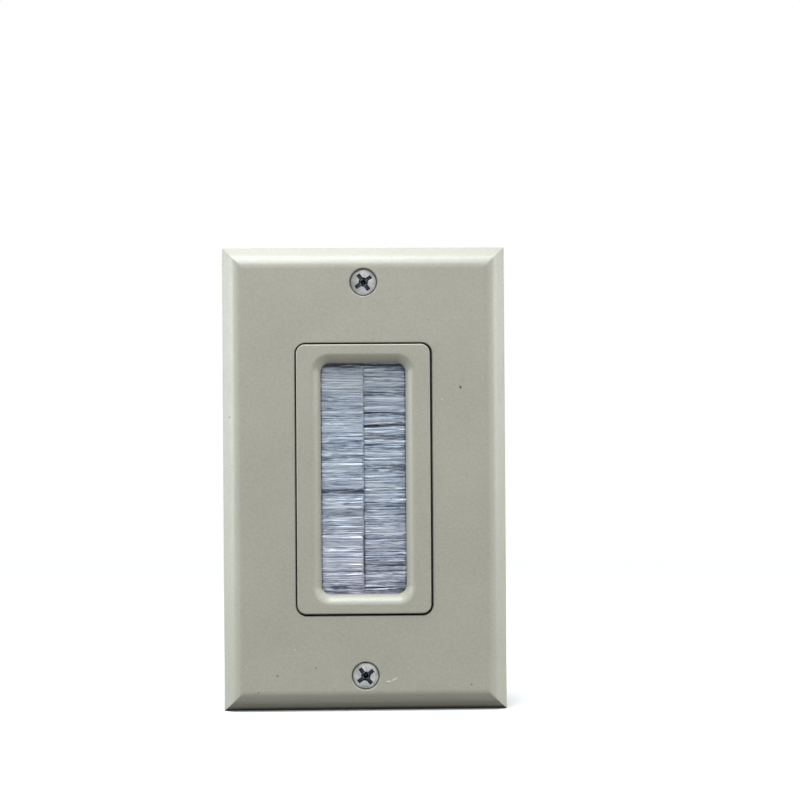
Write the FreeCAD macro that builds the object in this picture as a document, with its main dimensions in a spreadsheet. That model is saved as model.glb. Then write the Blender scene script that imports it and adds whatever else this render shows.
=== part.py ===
"""Brush wall plate: a single-gang cover plate whose framed upright opening is closed by two rows of bristles.

Millimetres, +Z up, +X to the right as seen from the room. The room side faces -Y and the wall's
surface is the plane y = 0. The origin is the centre of the insert on that plane; the cover plate sits
a little to its right, as its holes allow.
Sizes named "forward" are measured from the wall towards the room, sizes named "behind" into the wall.
"""
import FreeCAD, Part
import math
import os
import re
import Sketcher

OUTPUT_FOLDER = "parts"

# Driving dimensions, in millimetres and degrees
SIZES = {
    # cover plate
    "plate_width": 69.85,
    "plate_height": 114.3,
    "plate_depth": 5.6,
    "plate_shift_x": 0.22,
    "plate_wall": 2.0,
    "inner_slope_run": 1.8,
    "inner_slope_drop": 0.75,
    "outer_slope_run": 2.3,
    "outer_slope_drop": 2.5,
    "crown_radius": 5.4,
    "shoulder_radius": 2.6,
    "rim_radius": 0.6,
    "window_gap": 0.44,
    "window_shift_x": 0.1,
    "window_shift_z": -0.08,
    "window_edge_slope": 0.2,
    "collar_wall": 1.5,
    "collar_clearance": 0.4,
    "boss_radius": 4.6,
    # screws that hold the cover plate
    "plate_screw_edge": 8.73,
    "plate_screw_shank": 3.4,
    "plate_screw_length": 12.7,
    "plate_screw_head": 6.45,
    "plate_screw_crown": 0.7,
    "plate_screw_land": 0.15,
    "countersink_angle": 82.0,
    "countersink_margin": 0.27,
    "countersink_bore_depth": 0.3,
    "countersink_edge_slope": 0.12,
    "countersink_play": 0.03,
    "plate_hole_clearance": 0.25,
    "tapped_hole_clearance": 0.05,
    "cross_length": 4.7,
    "cross_width": 1.0,
    "cross_depth": 1.3,
    "cross_core_radius": 1.2,
    "cross_core_depth": 2.2,
    "top_cross_turn": 34.5,
    "bottom_cross_turn": 37.0,
    # insert moulding: bezel and throat
    "bezel_side_land": 5.96,
    "bezel_end_land": 4.63,
    "bezel_step": 8.54,
    "bezel_radius": 2.2,
    "bezel_proud": 0.3,
    "bezel_edge_slope": 0.2,
    "throat_width": 20.95,
    "throat_radius": 2.2,
    "funnel_radius": 2.35,
    # insert moulding: mounting strap
    "strap_thickness": 1.6,
    "strap_edge": 4.95,
    "shoulder_step": 6.17,
    "strap_radius": 1.5,
    "ear_width": 33.5,
    "shoulder_width": 4.25,
    "pad_height": 1.0,
    "pad_width": 17.0,
    "pad_radius": 1.5,
    "pad_margin": 4.4,
    "box_screw_step": 6.75,
    "box_hole_diameter": 4.4,
    # insert moulding: rear block
    "block_side_wall": 1.75,
    "block_end_wall": 4.55,
    "block_radius": 1.5,
    "block_behind": 1.2,
    "core_width": 2.4,
    "core_depth": 1.0,
    "core_end_margin": 2.55,
    "fence_width": 0.8,
    "fence_height": 0.8,
    "pilot_diameter": 1.7,
    "pilot_depth": 3.6,
    # brush channels
    "channel_end_overlap": 0.95,
    "channel_thickness": 3.6,
    "channel_depth": 3.6,
    "channel_sheet": 0.5,
    "channel_setback": 1.3,
    "channel_bend_radius": 0.9,
    "channel_jaw_run": 1.3,
    "channel_forward": 3.0,
    "channel_play": 0.1,
    "wire_diameter": 0.9,
    "wire_play": 0.02,
    # bristles
    "neck_thickness": 1.8,
    "grip_play": 0.03,
    "bristle_end_margin": 0.1,
    "bristle_root_reach": 0.9,
    "tuft_pitch": 2.8,
    "tuft_gap_at_root": 0.1,
    "tuft_gap_at_tip": 0.32,
    "tuft_sway": 0.45,
    "tuft_sway_turn": 41.0,
    "tip_gap": 0.1,
    "tip_raggedness": 0.12,
    "layer_fan_angle": 2.0,
    # rear retainer and its screws
    "retainer_thickness": 2.0,
    "retainer_margin": 0.5,
    "retainer_edge_slope": 0.6,
    "retainer_rib_width": 2.4,
    "retainer_rib_play": 0.05,
    "retainer_screw_inset": 5.55,
    "retainer_screw_shank": 1.6,
    "retainer_screw_reach": 3.0,
    "retainer_screw_head": 3.8,
    "retainer_screw_head_height": 1.3,
    "retainer_hole_clearance": 0.4,
    "small_cross_length": 2.0,
    "small_cross_width": 0.5,
    "small_cross_depth": 0.8,
}

# Sizes that follow from the driving ones
DERIVED = {
    "half_width": "plate_width / 2",
    "half_height": "plate_height / 2",
    "rim_forward": "plate_depth - inner_slope_drop - outer_slope_drop",
    "slopes_run": "inner_slope_run + outer_slope_run",
    "inner_slope_angle": "atan(inner_slope_drop / inner_slope_run)",
    "outer_slope_angle": "atan(outer_slope_drop / outer_slope_run)",
    "bezel_forward": "plate_depth + bezel_proud",
    "bezel_width": "throat_width + 2 * bezel_side_land",
    "bezel_height": "2 * box_screw_z - 2 * bezel_step",
    "throat_height": "bezel_height - 2 * bezel_end_land",
    "window_width": "bezel_width + 2 * window_gap",
    "window_height": "bezel_height + 2 * window_gap",
    "window_radius": "bezel_radius + window_gap",
    "collar_forward": "strap_thickness + collar_clearance",
    "pad_forward": "strap_thickness + pad_height",
    "pad_bottom": "plate_screw_z - pad_margin",
    "strap_width": "ear_width + 2 * shoulder_width",
    "strap_end": "half_height - strap_edge",
    "shoulder_z": "box_screw_z - shoulder_step",
    "plate_screw_z": "half_height - plate_screw_edge",
    "box_screw_z": "plate_screw_z - box_screw_step",
    "plate_hole_radius": "plate_screw_shank / 2 + plate_hole_clearance",
    "countersink_radius": "plate_screw_head / 2 + countersink_margin",
    "countersink_slope": "tan(countersink_angle / 2 * 1 deg)",
    "countersink_reach": "(countersink_radius - plate_hole_radius) / countersink_slope",
    "countersink_depth": "countersink_bore_depth + countersink_reach",
    "head_seat": "countersink_bore_depth + countersink_margin / countersink_slope",
    "head_sink": "head_seat - countersink_play - plate_screw_land",
    "block_width": "2 * pocket_half_width + 2 * block_side_wall",
    "block_height": "2 * pocket_half_height + 2 * block_end_wall",
    "channel_length": "throat_height + 2 * channel_end_overlap",
    "channel_mouth": "throat_width / 2 + channel_setback",
    "channel_back": "channel_mouth + channel_depth",
    "channel_centre_forward": "channel_forward - channel_thickness / 2",
    "channel_half_mouth": "neck_thickness / 2 + channel_sheet",
    "channel_bore_radius": "channel_thickness / 2 - channel_sheet",
    "wire_x": "channel_back - channel_sheet - channel_bore_radius",
    "pocket_floor": "channel_forward + channel_play",
    "pocket_half_width": "channel_back + channel_play",
    "pocket_half_height": "channel_length / 2 + channel_play",
    "core_x": "(throat_width + bezel_side_land) / 2 + fence_width / 4",
    "core_length": "throat_height - 2 * core_end_margin",
    "fence_x": "channel_mouth - channel_play - fence_width / 2",
    "channel_behind": "channel_thickness - channel_forward",
    "retainer_screw_x": "block_width / 2 - retainer_screw_inset",
    "retainer_screw_z": "pocket_half_height + block_end_wall / 2",
    "retainer_behind": "block_behind + retainer_thickness",
}

NAMES = re.compile("[a-z][a-z_]+")


def in_full(text):
    """Write an expression with every derived size replaced by the driving sizes behind it."""
    return NAMES.sub(
        lambda name: f"({in_full(DERIVED[name[0]])})" if name[0] in DERIVED else name[0],
        text,
    )


def bound(text):
    """Write an expression the way another object refers to the cells of the sheet."""
    return NAMES.sub(
        lambda name: f"sizes.{name[0]}" if name[0] in SIZES else name[0],
        in_full(text),
    )


def value(text):
    """Work out an expression from the sheet as a plain number."""
    return float(sheet.evalExpression(in_full(str(text))))


def fill_sheet():
    """Write the driving dimensions into a sheet, each in a cell with its own name."""
    made = doc.addObject("Spreadsheet::Sheet", "sizes")
    for row, (name, size) in enumerate(SIZES.items(), start=1):
        made.set(f"A{row}", name)
        made.set(f"B{row}", str(size))
        made.setAlias(f"B{row}", name)
    doc.recompute()
    return made


def new_body(name):
    """Start an empty body."""
    return doc.addObject("PartDesign::Body", f"{name}_body")


def new_sketch(body, plane, offset="0"):
    """Start a sketch parallel to one of the body's own planes, offset along that plane's normal.

    The normal of XZ_Plane points at the room, so its offset is a size measured forward.
    """
    sketch = body.newObject("Sketcher::SketchObject", f"{body.Name}_outline")
    support = [item for item in body.Origin.OriginFeatures if item.Role == plane]
    sketch.AttachmentSupport = [(support[0], "")]
    sketch.MapMode = "FlatFace"
    sketch.setExpression(".AttachmentOffset.Base.z", bound(offset))
    return sketch


def fix_point(sketch, geometry, point, place):
    """Tie one point of a sketch to its place, given as two expressions."""
    for kind, text in zip(("DistanceX", "DistanceY"), place):
        number = sketch.addConstraint(Sketcher.Constraint(kind, -1, 1, geometry, point, value(text)))
        sketch.setExpression(f"Constraints[{number}]", bound(text))


def draw_polygon(sketch, corners, domed=None):
    """Draw a closed outline of straight lines through corners given as pairs of expressions.

    The side with the number domed, if any, is an arc that ends on the upright axis and is centred there.
    """
    points = [FreeCAD.Vector(value(across), value(up), 0) for across, up in corners]
    sides = []
    for number, (start, end) in enumerate(zip(points, points[1:] + points[:1])):
        if number == domed:
            rise = start.y - end.y
            radius = (start.x ** 2 + rise ** 2) / (2 * rise)
            circle = Part.Circle(end + FreeCAD.Vector(0, radius, 0), FreeCAD.Vector(0, 0, 1), radius)
            reach = math.asin(start.x / radius)
            arc = Part.ArcOfCircle(circle, -math.pi / 2, reach - math.pi / 2)
            sides.append((sketch.addGeometry(arc), 2, 1))
            sketch.addConstraint(Sketcher.Constraint("PointOnObject", sides[-1][0], 3, -2))
        else:
            sides.append((sketch.addGeometry(Part.LineSegment(start, end)), 1, 2))
    for (side, _, end), (following, start, _) in zip(sides, sides[1:] + sides[:1]):
        sketch.addConstraint(Sketcher.Constraint("Coincident", side, end, following, start))
    for (side, start, _), corner in zip(sides, corners):
        fix_point(sketch, side, start, corner)


def draw_circle(sketch, across, up, radius):
    """Draw a circle from expressions for its centre and radius."""
    centre = FreeCAD.Vector(value(across), value(up), 0)
    circle = sketch.addGeometry(Part.Circle(centre, FreeCAD.Vector(0, 0, 1), value(radius)))
    fix_point(sketch, circle, 3, (across, up))
    number = sketch.addConstraint(Sketcher.Constraint("Radius", circle, value(radius)))
    sketch.setExpression(f"Constraints[{number}]", bound(radius))


def draw_rectangle(sketch, width, height, across="0", up="0"):
    """Draw an upright rectangle from expressions for its size and centre."""
    draw_polygon(
        sketch,
        [
            (f"{across} - ({width}) / 2", f"{up} - ({height}) / 2"),
            (f"{across} + ({width}) / 2", f"{up} - ({height}) / 2"),
            (f"{across} + ({width}) / 2", f"{up} + ({height}) / 2"),
            (f"{across} - ({width}) / 2", f"{up} + ({height}) / 2"),
        ],
    )


def grow(body, kind, sketch, length, backwards=False):
    """Pad a sketch along its normal, or pocket it against its normal, by a length."""
    before = body.Shape.Volume if body.Tip else 0.0
    feature = body.newObject(f"PartDesign::{kind}", f"{body.Name}_{kind.lower()}")
    feature.Profile = sketch
    feature.Reversed = backwards
    feature.setExpression("Length", bound(length))
    doc.recompute()
    change = feature.Shape.Volume - before
    if (change > 0) != (kind == "Pad"):
        raise ValueError(f"{feature.Name} changes the volume by {change:.3f}")
    return feature


def pad(body, sketch, length, backwards=False):
    """Add the material that a sketch sweeps."""
    return grow(body, "Pad", sketch, length, backwards)


def pocket(body, sketch, length, backwards=False):
    """Take away the material that a sketch sweeps."""
    return grow(body, "Pocket", sketch, length, backwards)


def edge_names(feature, wanted):
    """Name the edges of a feature that pass a test."""
    return [f"Edge{n}" for n, edge in enumerate(feature.Shape.Edges, start=1) if wanted(edge)]


def round_edges(body, wanted, radius):
    """Round the edges of a body that pass a test."""
    base = body.Tip
    fillet = body.newObject("PartDesign::Fillet", f"{body.Name}_rounding")
    fillet.Base = (base, edge_names(base, wanted))
    fillet.setExpression("Radius", bound(radius))
    doc.recompute()
    return fillet


def slope_edges(body, wanted, size):
    """Cut the edges of a body that pass a test at 45 degrees."""
    base = body.Tip
    chamfer = body.newObject("PartDesign::Chamfer", f"{body.Name}_slope")
    chamfer.Base = (base, edge_names(base, wanted))
    chamfer.setExpression("Size", bound(size))
    doc.recompute()
    return chamfer


def near(first, second):
    """Say whether two places or lengths are the same."""
    return abs(first - second) < 1e-4


def runs_along(edge, axis):
    """Say whether an edge is a straight line along an axis, given as "x", "y" or "z"."""
    if edge.Curve.TypeId != "Part::GeomLine":
        return False
    return all(near(getattr(edge.Vertexes[0].Point, other), getattr(edge.Vertexes[-1].Point, other))
               for other in "xyz" if other != axis)


def upright_corner(width, height, across="0", up="0"):
    """Make a test for the depthwise edges at the corners of a rectangle."""
    def wanted(edge):
        if not runs_along(edge, "y"):
            return False
        place = edge.Vertexes[0].Point
        return (near(abs(place.x - value(across)), value(width) / 2)
                and near(abs(place.z - value(up)), value(height) / 2))
    return wanted


def around_rectangle(width, height, forward, across="0", up="0"):
    """Make a test for the edges of a rounded rectangle that lie at one depth."""
    def wanted(edge):
        box = edge.BoundBox
        middle = edge.valueAt((edge.FirstParameter + edge.LastParameter) / 2)
        reach_x = abs(middle.x - value(across)) / (value(width) / 2)
        reach_z = abs(middle.z - value(up)) / (value(height) / 2)
        level = near(box.YMin, -value(forward)) and near(box.YMax, -value(forward))
        return level and max(reach_x, reach_z) < 1.0 + 1e-4 and (
            near(max(reach_x, reach_z), 1.0) or edge.Curve.TypeId == "Part::GeomCircle"
            and min(reach_x, reach_z) > 0.8)
    return wanted


def full_circle(edge, radius, forward):
    """Say whether an edge is a whole circle of one radius at one depth."""
    if edge.Curve.TypeId != "Part::GeomCircle" or len(edge.Vertexes) != 1:
        return False
    return near(edge.Curve.Radius, value(radius)) and near(edge.Curve.Center.y, -value(forward))


def offset_corner(across, forward, first_angle, second_angle, wall):
    """Move a section's corner inwards with the two faces that meet there, whose angles are given."""
    middle = f"({first_angle} + {second_angle}) / 2"
    half_turn = f"({second_angle} - {first_angle}) / 2"
    return (
        f"{across} - {wall} * sin({middle}) / cos({half_turn})",
        f"{forward} - {wall} * cos({middle}) / cos({half_turn})",
    )


def crowned_bar(name, plane, half_span, inset, wall, length):
    """Make a bar whose section has the plate's two front slopes and rounded edges.

    A wall moves every face of the section inwards, and an inset runs it past the plate's rear rim.
    """
    body = new_body(name)
    along = "z" if plane == "XY_Plane" else "x"
    sketch = new_sketch(body, plane, f"-({length}) / 2")
    face = offset_corner(f"{half_span} - slopes_run", "plate_depth", "0 deg", "inner_slope_angle", wall)
    shoulder = offset_corner(
        f"{half_span} - outer_slope_run",
        "rim_forward + outer_slope_drop",
        "inner_slope_angle",
        "outer_slope_angle",
        wall,
    )
    rim = offset_corner(half_span, "rim_forward", "outer_slope_angle", "90 deg", wall)
    right = [(rim[0], f"-{inset}"), rim, shoulder, face]
    left = [(f"-({across})", forward) for across, forward in reversed(right)]
    # the sketch's own axes are X and Y across the height of a bar along Z, Y and Z along X
    corners = [
        (across, f"-({forward})") if along == "z" else (f"-({forward})", across)
        for across, forward in right + left
    ]
    draw_polygon(sketch, corners)
    pad(body, sketch, length)

    def corner_test(across, forward):
        def wanted(edge):
            place = edge.Vertexes[0].Point
            reach = place.x if along == "z" else place.z
            return (runs_along(edge, along) and near(abs(reach), value(across))
                    and near(place.y, -value(forward)))
        return wanted

    round_edges(body, corner_test(*face), f"crown_radius - {wall}")
    round_edges(body, corner_test(*shoulder), f"shoulder_radius - {wall}")
    if wall == "0":
        round_edges(body, corner_test(*rim), "rim_radius")
    return body


def combine(kind, name, *pieces):
    """Join, intersect or cut whole objects."""
    made = doc.addObject(f"Part::{kind}", name)
    if kind == "Cut":
        made.Base, made.Tool = pieces
    else:
        made.Shapes = list(pieces)
    doc.recompute()
    return made


def crowned_block(name, inset, wall):
    """Make the plate's outer form, or its hollow, with mitred corners."""
    upright = crowned_bar(f"{name}_upright", "XY_Plane", "half_width", inset, wall, "plate_height * 1.2")
    level = crowned_bar(f"{name}_level", "YZ_Plane", "half_height", inset, wall, "plate_width * 1.2")
    return combine("MultiCommon", name, upright, level)


def window_body(name, width, height, radius, front, rear):
    """Make a rounded rectangle round the window's centre, from one depth to another."""
    body = new_body(name)
    sketch = new_sketch(body, "XZ_Plane", rear)
    place = ("window_shift_x", "window_shift_z")
    draw_rectangle(sketch, width, height, *place)
    pad(body, sketch, f"{front} - ({rear})")
    round_edges(body, upright_corner(width, height, *place), radius)
    return body


def turned_body(name, profile, domed=None):
    """Turn a half section, given as (radius, y) pairs, round the Y axis."""
    body = new_body(name)
    sketch = new_sketch(body, "XY_Plane")
    draw_polygon(sketch, profile, domed)
    turned = body.newObject("PartDesign::Revolution", f"{body.Name}_turned")
    turned.Profile = sketch
    turned.ReferenceAxis = (sketch, ["V_Axis"])
    turned.Angle = 360
    doc.recompute()
    return body


def build_wall_plate():
    """Moulded shell with a bevelled front, a collar round the window and two countersunk bosses."""
    shell = combine(
        "Cut",
        "plate_shell",
        crowned_block("plate_outside", "0", "0"),
        crowned_block("plate_hollow", "1", "plate_wall"),
    )
    shell.setExpression(".Placement.Base.x", bound("plate_shift_x"))
    ceiling = "plate_depth - plate_wall / 2"
    collar = window_body(
        "plate_collar",
        "window_width + 2 * collar_wall",
        "window_height + 2 * collar_wall",
        "window_radius + collar_wall",
        ceiling,
        "collar_forward",
    )
    bosses = []
    holes = []
    for end, side in (("top", "1"), ("bottom", "-1")):
        boss = doc.addObject("Part::Cylinder", f"{end}_boss")
        boss.setExpression("Radius", bound("boss_radius"))
        boss.setExpression("Height", bound(f"{ceiling} - pad_forward"))
        boss.Placement.Rotation = FreeCAD.Rotation(FreeCAD.Vector(1, 0, 0), 90)
        boss.setExpression(".Placement.Base.x", bound("plate_shift_x"))
        boss.setExpression(".Placement.Base.y", bound("-(pad_forward)"))
        boss.setExpression(".Placement.Base.z", bound(f"{side} * plate_screw_z"))
        bosses.append(boss)
        hole = turned_body(
            f"{end}_plate_hole",
            [
                ("0", "0"),
                ("plate_hole_radius", "0"),
                ("plate_hole_radius", "countersink_depth - plate_depth"),
                ("countersink_radius", "countersink_bore_depth - plate_depth"),
                ("countersink_radius", "-plate_depth - 1"),
                ("0", "-plate_depth - 1"),
            ],
        )
        hole.setExpression(".Placement.Base.x", bound("plate_shift_x"))
        hole.setExpression(".Placement.Base.z", bound(f"{side} * plate_screw_z"))
        holes.append(hole)
    opening = window_body(
        "plate_window",
        "window_width",
        "window_height",
        "window_radius",
        "plate_depth + 1",
        "collar_forward - 1",
    )
    solid = combine("MultiFuse", "plate_solid", shell, collar, *bosses)
    openings = combine("MultiFuse", "plate_openings", opening, *holes)
    cut = combine("Cut", "plate_cut", solid, openings)
    finished = doc.addObject("Part::Chamfer", "plate_finished")
    finished.Base = cut
    wanted = around_rectangle(
        "window_width", "window_height", "plate_depth", "window_shift_x", "window_shift_z"
    )
    window_slope = value("window_edge_slope")
    rim_slope = value("countersink_edge_slope")
    edges = list(enumerate(cut.Shape.Edges, start=1))
    finished.Edges = [
        (number, window_slope, window_slope) for number, edge in edges if wanted(edge)
    ] + [
        (number, rim_slope, rim_slope)
        for number, edge in edges
        if full_circle(edge, "countersink_radius", "plate_depth")
    ]
    doc.recompute()
    return finished


def strap_outline():
    """Corners of the mounting strap: a wide middle with a narrower ear at each end."""
    quarter = [
        ("strap_width / 2", "shoulder_z"),
        ("ear_width / 2", "shoulder_z"),
        ("ear_width / 2", "strap_end"),
    ]
    corners = list(quarter)
    corners += [(f"-({across})", up) for across, up in reversed(quarter)]
    corners += [(f"-({across})", f"-({up})") for across, up in quarter]
    corners += [(across, f"-({up})") for across, up in reversed(quarter)]
    return corners


def build_insert_frame():
    """One moulding: bezel with its rounded throat, mounting strap, screw pads and rear pocket."""
    body = new_body("insert_frame")
    sketch = new_sketch(body, "XZ_Plane")
    draw_polygon(sketch, strap_outline())
    pad(body, sketch, "strap_thickness")
    round_edges(body, upright_corner("strap_width", "2 * shoulder_z"), "strap_radius")
    round_edges(body, upright_corner("ear_width", "2 * strap_end"), "strap_radius")

    sketch = new_sketch(body, "XZ_Plane")
    draw_rectangle(sketch, "bezel_width", "bezel_height")
    pad(body, sketch, "bezel_forward")
    round_edges(body, upright_corner("bezel_width", "bezel_height"), "bezel_radius")

    sketch = new_sketch(body, "XZ_Plane", "strap_thickness / 2")
    draw_rectangle(sketch, "block_width", "block_height")
    pad(body, sketch, "block_behind + strap_thickness / 2", backwards=True)
    round_edges(body, upright_corner("block_width", "block_height"), "block_radius")

    for side in ("1", "-1"):
        sketch = new_sketch(body, "XZ_Plane", "strap_thickness / 2")
        reach = "strap_end - pad_bottom"
        middle = f"{side} * (strap_end + pad_bottom) / 2"
        draw_rectangle(sketch, "pad_width", reach, "0", middle)
        pad(body, sketch, "pad_forward - strap_thickness / 2")
        round_edges(body, upright_corner("pad_width", reach, "0", middle), "pad_radius")

    sketch = new_sketch(body, "XZ_Plane", "-block_behind")
    draw_rectangle(sketch, "2 * pocket_half_width", "2 * pocket_half_height")
    pocket(body, sketch, "block_behind + pocket_floor", backwards=True)

    sketch = new_sketch(body, "XZ_Plane", "bezel_forward")
    draw_rectangle(sketch, "throat_width", "throat_height")
    pocket(body, sketch, "bezel_forward")
    round_edges(body, upright_corner("throat_width", "throat_height"), "throat_radius")
    throat_edge = around_rectangle("throat_width", "throat_height", "bezel_forward")
    round_edges(body, throat_edge, "funnel_radius")
    outer_edge = around_rectangle("bezel_width", "bezel_height", "bezel_forward")
    slope_edges(body, outer_edge, "bezel_edge_slope")

    for side in ("1", "-1"):
        sketch = new_sketch(body, "XZ_Plane", "pocket_floor")
        draw_rectangle(sketch, "core_width", "core_length", f"{side} * core_x")
        pocket(body, sketch, "core_depth", backwards=True)
        sketch = new_sketch(body, "XZ_Plane", "pocket_floor")
        draw_rectangle(sketch, "fence_width", "core_length", f"{side} * fence_x")
        pad(body, sketch, "fence_height", backwards=True)

    drill(body, "plate_screw_shank / 2 + tapped_hole_clearance",
          [("plate_shift_x", f"{side} * plate_screw_z") for side in ("1", "-1")], "0", "pad_forward")
    drill(body, "box_hole_diameter / 2",
          [("0", f"{side} * box_screw_z") for side in ("1", "-1")], "0", "strap_thickness")
    drill(body, "pilot_diameter / 2", retainer_screw_places(), "-block_behind", "pilot_depth - block_behind")
    return body


def drill(body, radius, places, rear, front):
    """Make round holes through a body, from a depth at the rear to one at the front."""
    sketch = new_sketch(body, "XZ_Plane", rear)
    for across, up in places:
        draw_circle(sketch, across, up, radius)
    pocket(body, sketch, f"{front} - ({rear})", backwards=True)


def retainer_screw_places():
    """Places of the four small screws, as expressions across and up."""
    return [
        (f"{across} * retainer_screw_x", f"{up} * retainer_screw_z")
        for across in ("1", "-1")
        for up in ("1", "-1")
    ]


def build_channel(name, side):
    """Folded sheet channel, its jaws crimped towards the mouth, on the side given as "1" or "-1"."""
    body = new_body(name)
    sketch = new_sketch(body, "XY_Plane", "-channel_length / 2")
    centre = "-(channel_centre_forward)"
    upper = [
        ("channel_back", "channel_thickness / 2"),
        ("channel_mouth + channel_jaw_run", "channel_thickness / 2"),
        ("channel_mouth", "channel_half_mouth"),
        ("channel_mouth", "neck_thickness / 2"),
        ("channel_mouth + channel_jaw_run", "channel_bore_radius"),
        ("channel_back - channel_sheet", "channel_bore_radius"),
    ]
    rows = [(across, f"{centre} + {up}") for across, up in upper]
    rows += [(across, f"{centre} - ({up})") for across, up in reversed(upper)]
    draw_polygon(sketch, [(f"{side} * ({across})", up) for across, up in rows])
    pad(body, sketch, "channel_length")

    def bend_test(across):
        def wanted(edge):
            return runs_along(edge, "z") and near(abs(edge.Vertexes[0].Point.x), value(across))
        return wanted

    round_edges(body, bend_test("channel_back"), "channel_bend_radius")
    round_edges(body, bend_test("channel_back - channel_sheet"), "channel_bend_radius - channel_sheet")
    return body


def build_wire(name, side):
    """Straight wire that one row of filaments is folded round."""
    wire = doc.addObject("Part::Cylinder", f"{name}_rod")
    wire.setExpression("Radius", bound("wire_diameter / 2"))
    wire.setExpression("Height", bound("channel_length"))
    wire.setExpression(".Placement.Base.x", bound(f"{side} * wire_x"))
    wire.setExpression(".Placement.Base.y", bound("-(channel_centre_forward)"))
    wire.setExpression(".Placement.Base.z", bound("-channel_length / 2"))
    return wire


def comb_outline(side, phase):
    """Corners of one layer of tufts, from its root strip to the swaying, slightly ragged tips."""
    half_length = value("channel_length / 2 - bristle_end_margin")
    pitch = value("tuft_pitch")
    count = int(2 * half_length / pitch)
    root = value("channel_mouth + bristle_root_reach")
    neck = value("channel_mouth - channel_play")
    reach = neck - value("tip_gap")
    sway_turn = math.radians(value("tuft_sway_turn"))

    def border(index):
        """Height at the root and at the tips of the line between two tufts."""
        height = -half_length + index * 2 * half_length / count
        ends = min(index, count - index) / 3
        sway = value("tuft_sway") * math.sin(sway_turn * index + phase) * min(1, ends)
        return height, height + sway

    points = [(root, -half_length)]
    for index in range(count):
        low_root, low_tip = border(index)
        high_root, high_tip = border(index + 1)
        root_gap = value("tuft_gap_at_root / 2")
        tip_gap = value("tuft_gap_at_tip / 2")
        ragged = value("tip_raggedness") * (1 + math.sin(2.4 * index + phase))
        first, last = index == 0, index == count - 1
        points.append((neck, low_root + (0 if first else root_gap)))
        points.append((neck - reach + ragged, low_tip + (0 if first else tip_gap)))
        points.append((neck - reach + ragged, high_tip - (0 if last else tip_gap)))
        points.append((neck, high_root - (0 if last else root_gap)))
    points.append((root, half_length))
    return [(side * across, up) for across, up in points]


def build_bristles(name, side):
    """One row of filaments: a fold round the wire, a neck in the channel's mouth and three fanned layers."""
    sign = int(side)
    forward = value("channel_centre_forward")
    length = value("channel_length - 2 * bristle_end_margin")
    neck_half = value("neck_thickness / 2 - grip_play")
    centre = FreeCAD.Vector(sign * value("wire_x"), -forward, -length / 2)
    upward = FreeCAD.Vector(0, 0, 1)
    fold = Part.makeCylinder(value("channel_bore_radius - grip_play"), length, centre, upward)
    neck_reach = value("wire_x - channel_mouth")
    neck = Part.makeBox(neck_reach, 2 * neck_half, length)
    neck_left = min(centre.x, centre.x - sign * neck_reach)
    neck.translate(FreeCAD.Vector(neck_left, -forward - neck_half, -length / 2))
    bore = Part.makeCylinder(value("wire_diameter / 2 + wire_play"), length, centre, upward)

    layer_thickness = 2 * neck_half / 3
    hinge = FreeCAD.Vector(sign * value("channel_mouth"), -forward, 0)
    layers = []
    for step in (-1, 0, 1):
        middle = step * layer_thickness - forward
        corners = [
            FreeCAD.Vector(across, middle - layer_thickness / 2, up)
            for across, up in comb_outline(sign, step * 2.1)
        ]
        comb = Part.Face(Part.makePolygon(corners + corners[:1]))
        layer = comb.extrude(FreeCAD.Vector(0, layer_thickness, 0))
        layer.rotate(hinge, upward, -sign * step * value("layer_fan_angle"))
        layers.append(layer)
    row = doc.addObject("Part::Feature", f"{name}_row")
    row.Shape = fold.fuse([neck] + layers).removeSplitter().cut(bore)
    return row


def build_retainer():
    """Rear frame with a softened cable opening and a rib that presses on the back of each channel."""
    body = new_body("retainer")
    sketch = new_sketch(body, "XZ_Plane", "-block_behind")
    draw_rectangle(sketch, "block_width", "block_height")
    pad(body, sketch, "retainer_thickness", backwards=True)
    round_edges(body, upright_corner("block_width", "block_height"), "block_radius")

    width = "throat_width + 2 * retainer_margin"
    height = "throat_height + 2 * retainer_margin"
    sketch = new_sketch(body, "XZ_Plane", "-block_behind")
    draw_rectangle(sketch, width, height)
    pocket(body, sketch, "retainer_thickness")
    round_edges(body, upright_corner(width, height), "throat_radius + retainer_margin")
    slope_edges(body, around_rectangle(width, height, "-(retainer_behind)"), "retainer_edge_slope")

    for side in ("1", "-1"):
        sketch = new_sketch(body, "XZ_Plane", "-block_behind")
        draw_rectangle(sketch, "retainer_rib_width", "channel_length", f"{side} * wire_x")
        pad(body, sketch, "block_behind - (channel_behind) - retainer_rib_play")
    drill(body, "retainer_screw_shank / 2 + retainer_hole_clearance",
          retainer_screw_places(), "-(retainer_behind)", "-block_behind")
    return body


def cross_outline(arm, half):
    """Corners of an upright cross with arms of one reach and one half width."""
    quarter = [(arm, half), (half, half), (half, arm)]
    corners = list(quarter)
    corners += [(f"-{across}", up) for across, up in reversed(quarter)]
    corners += [(f"-{across}", f"-{up}") for across, up in quarter]
    corners += [(across, f"-{up}") for across, up in reversed(quarter)]
    return corners


def cut_cross_recess(body, front):
    """Cut the plate screw's recess from a forward plane: four arms round a core that narrows with depth."""
    sketch = new_sketch(body, "XZ_Plane", front)
    draw_polygon(sketch, cross_outline("cross_length / 2", "cross_width / 2"))
    pocket(body, sketch, "cross_depth")
    sketch = new_sketch(body, "XY_Plane")
    draw_polygon(
        sketch,
        [
            ("0", f"-({front})"),
            ("cross_core_radius", f"-({front})"),
            ("cross_width / 4", f"-({front} - cross_core_depth)"),
            ("0", f"-({front} - cross_core_depth)"),
        ],
    )
    core = body.newObject("PartDesign::Groove", f"{body.Name}_core")
    core.Profile = sketch
    core.ReferenceAxis = (sketch, ["V_Axis"])
    core.Angle = 360
    doc.recompute()


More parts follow.
